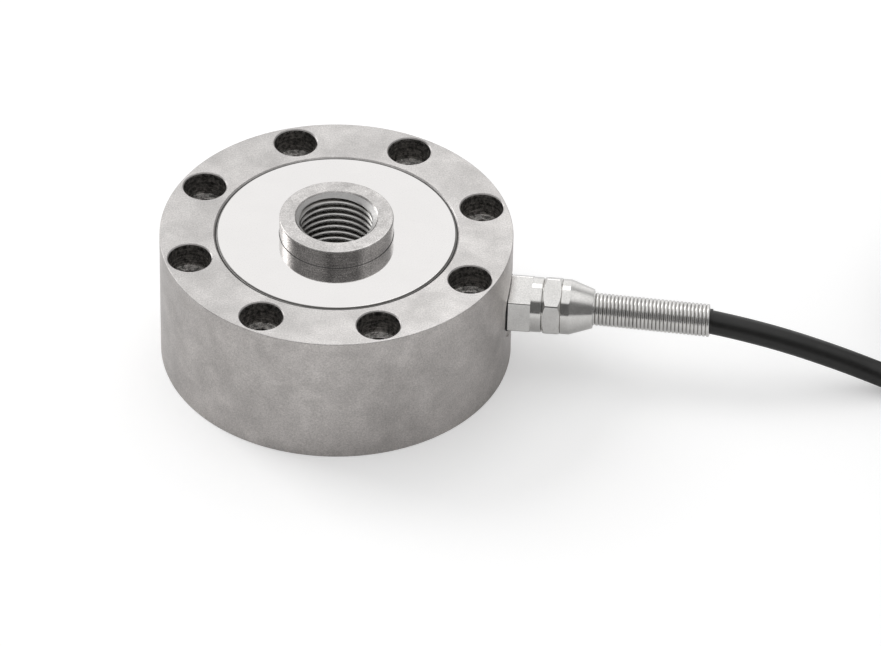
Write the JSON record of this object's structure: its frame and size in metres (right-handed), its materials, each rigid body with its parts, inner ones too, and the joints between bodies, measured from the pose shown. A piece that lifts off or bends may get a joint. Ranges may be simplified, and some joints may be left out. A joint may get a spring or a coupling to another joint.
{
  "type": "compression force sensor",
  "caption": "Low round compression force sensor: threaded loading hub, screw holes round the rim, side cable gland with spring relief and a free cable.",
  "frame": {"origin": "centre of the screw circle in the lower mounting face, on the body's axis", "axes": "+Z out of the threaded loading hub, along the line of force; +X along the cable gland, away from the body"},
  "size_m": [0.2236, 0.0966, 0.0325],
  "materials": {
    "body_steel": "fine turned stainless steel, satin",
    "cover_steel": "mirror polished stainless sheet",
    "sealant": "cured grey sealant, slightly glossy",
    "gland_nickel": "bright nickel plate over brass",
    "seal_rubber": "black nitrile rubber",
    "thrust_brass": "plain turned brass",
    "spring_steel": "bright drawn stainless wire",
    "cable_jacket": "smooth black sheath, slight sheen",
    "sleeve_plastic": "black heat-shrink sleeve",
    "core_red": "red core insulation",
    "core_black": "black core insulation",
    "core_green": "green core insulation",
    "core_white": "white core insulation",
    "screen_braid": "twisted tinned copper screen",
    "adhesive_foam": "white adhesive foam",
    "circuit_board": "green circuit board",
    "resistor_body": "black chip resistor",
    "gauge_foil": "amber gauge film with fine foil",
    "wiring_plastic": "bundle of enamelled gauge wires"
  },
  "bodies": {
    "root": {"sensing_body": "body_steel", "top_cover": "cover_steel", "bottom_cover": "cover_steel", "top_sealant": "sealant", "bottom_sealant": "sealant", "gland_body": "gland_nickel", "gland_nut": "gland_nickel", "gland_oring": "seal_rubber", "cable_grommet": "seal_rubber", "thrust_ring": "thrust_brass", "strain_relief_spring": "spring_steel", "cable_inner": "cable_jacket", "cable": "cable_jacket", "cable_coil": "cable_jacket", "cable_tail": "cable_jacket", "end_sleeve": "sleeve_plastic", "lead_red": "core_red", "lead_black": "core_black", "lead_green": "core_green", "lead_white": "core_white", "lead_screen": "screen_braid", "core_red": "core_red", "core_black": "core_black", "core_green": "core_green", "core_white": "core_white", "board_pad": "adhesive_foam", "terminal_board": "circuit_board", "trim_resistor_1": "resistor_body", "trim_resistor_2": "resistor_body", "trim_resistor_3": "resistor_body", "strain_gauge_1": "gauge_foil", "strain_gauge_2": "gauge_foil", "strain_gauge_3": "gauge_foil", "strain_gauge_4": "gauge_foil", "strain_gauge_5": "gauge_foil", "strain_gauge_6": "gauge_foil", "strain_gauge_7": "gauge_foil", "strain_gauge_8": "gauge_foil", "gauge_wiring": "wiring_plastic"}
  },
  "joints": []
}
